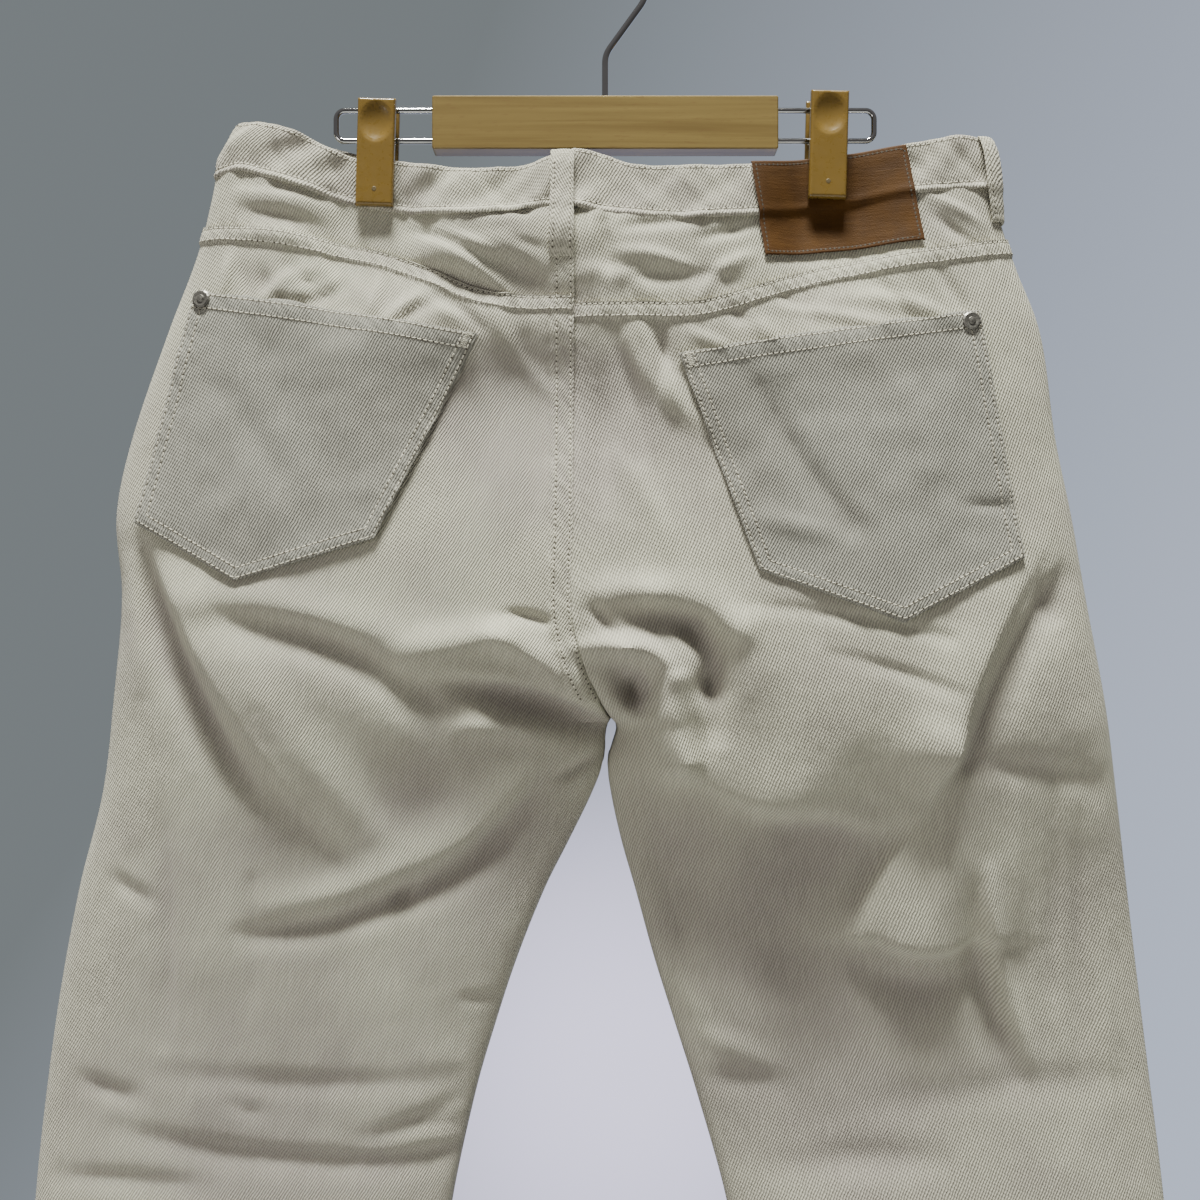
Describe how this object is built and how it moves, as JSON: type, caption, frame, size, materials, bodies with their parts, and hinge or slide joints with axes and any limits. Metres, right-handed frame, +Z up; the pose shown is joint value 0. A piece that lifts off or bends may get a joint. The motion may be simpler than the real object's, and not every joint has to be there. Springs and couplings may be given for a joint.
{
  "type": "jeans on a clip hanger",
  "caption": "Straight-leg denim jeans hung by the waistband from a wooden bar hanger with two clips, back to the viewer.",
  "frame": {"origin": "inside top of the hook, where a rail carries the hanger", "axes": "+Z up, -Y the way the back of the jeans faces, +X to the right when the back is seen"},
  "size_m": [0.682, 0.0801, 1.1136],
  "materials": {
    "denim": "undyed ecru cotton twill, matt",
    "pocket_denim": "undyed ecru cotton twill, a little cooler in tone",
    "patch_leather": "tan leather with a darker sewn edge, bare",
    "worn_steel": "antiqued nickel plate",
    "hanger_wire": "polished chrome plate",
    "bar_wood": "clear-varnished beech",
    "clip_tan": "tan, smooth, slightly glossy"
  },
  "bodies": {
    "root": {"back_panel_left": "denim", "back_panel_right": "denim", "front_panel_left": "denim", "front_panel_right": "denim", "yoke_left": "denim", "yoke_right": "denim", "pocket_facing_left": "denim", "pocket_facing_right": "denim", "waistband": "denim", "back_pocket_left": "pocket_denim", "back_pocket_right": "pocket_denim", "leather_patch": "patch_leather", "belt_loop_back": "denim", "belt_loop_side_left": "denim", "belt_loop_side_right": "denim", "belt_loop_front_left": "denim", "belt_loop_front_right": "denim", "fly": "denim", "rivet_back_left": "worn_steel", "rivet_back_right": "worn_steel", "rivet_front_left": "worn_steel", "rivet_front_right": "worn_steel", "rivet_side_left": "worn_steel", "rivet_side_right": "worn_steel", "button": "worn_steel", "hanger_bar": "bar_wood", "hook": "hanger_wire", "clip_bail_left": "hanger_wire", "clip_bail_right": "hanger_wire", "clip_back_left": "clip_tan", "clip_front_left": "clip_tan", "clip_core_left": "clip_tan", "clip_back_right": "clip_tan", "clip_front_right": "clip_tan", "clip_core_right": "clip_tan"}
  },
  "joints": []
}
